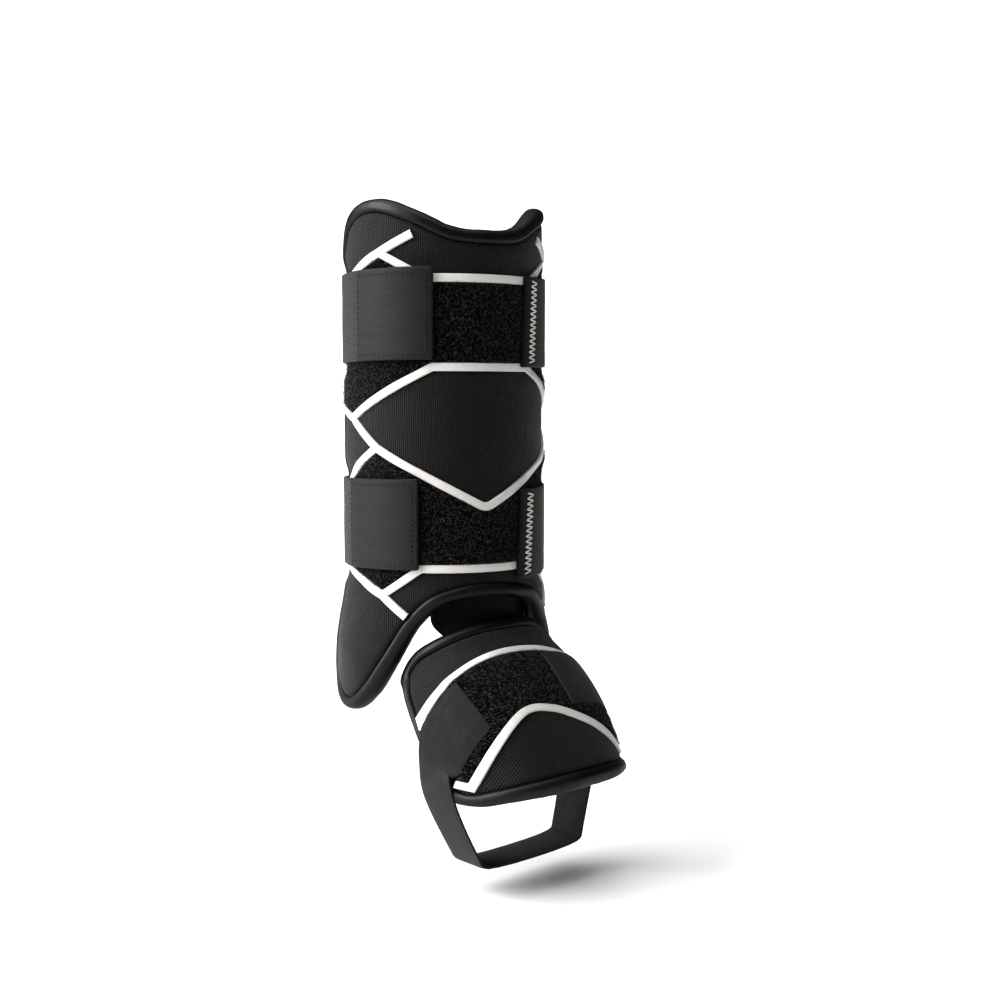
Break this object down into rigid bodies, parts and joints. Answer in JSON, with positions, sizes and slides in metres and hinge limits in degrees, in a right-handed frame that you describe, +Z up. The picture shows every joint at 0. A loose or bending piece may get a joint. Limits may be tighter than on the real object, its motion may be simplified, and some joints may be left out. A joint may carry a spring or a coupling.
{
  "type": "batter's leg guard",
  "caption": "Padded shin guard with a moulded shell, rounded ankle wings, a separate foot pad, elastic leg straps and a foot strap, in the form that it has when worn.",
  "frame": {"origin": "on the axis of the lower leg, half way up the shin pad, where the guard sits on the leg", "axes": "+Z up along the leg towards the knee, -Y out of the front of the shin, +X to the wearer's left"},
  "size_m": [0.1468, 0.1804, 0.3841],
  "materials": {
    "shell": "embossed coated fabric, matt",
    "liner": "fine knitted lining, matt",
    "binding": "smooth imitation leather, satin",
    "loop": "fuzzy loop fabric",
    "trim": "flat raised film, satin",
    "strap": "ribbed woven elastic",
    "hook": "hook tape, matt",
    "foot_strap": "plain brushed strap fabric"
  },
  "bodies": {
    "root": {"shin_shell": "shell", "shin_liner": "liner", "shin_binding": "binding", "upper_loop_panel": "loop", "lower_loop_panel": "loop", "upper_trim": "trim", "shield_trim": "trim", "lower_trim": "trim", "upper_strap": "strap", "lower_strap": "strap", "upper_hook_patch": "hook", "lower_hook_patch": "hook", "instep_gusset": "liner", "foot_shell": "shell", "foot_liner": "liner", "foot_binding": "binding", "foot_loop_panel": "loop", "foot_upper_trim": "trim", "foot_lower_trim": "trim", "foot_strap": "foot_strap"}
  },
  "joints": []
}
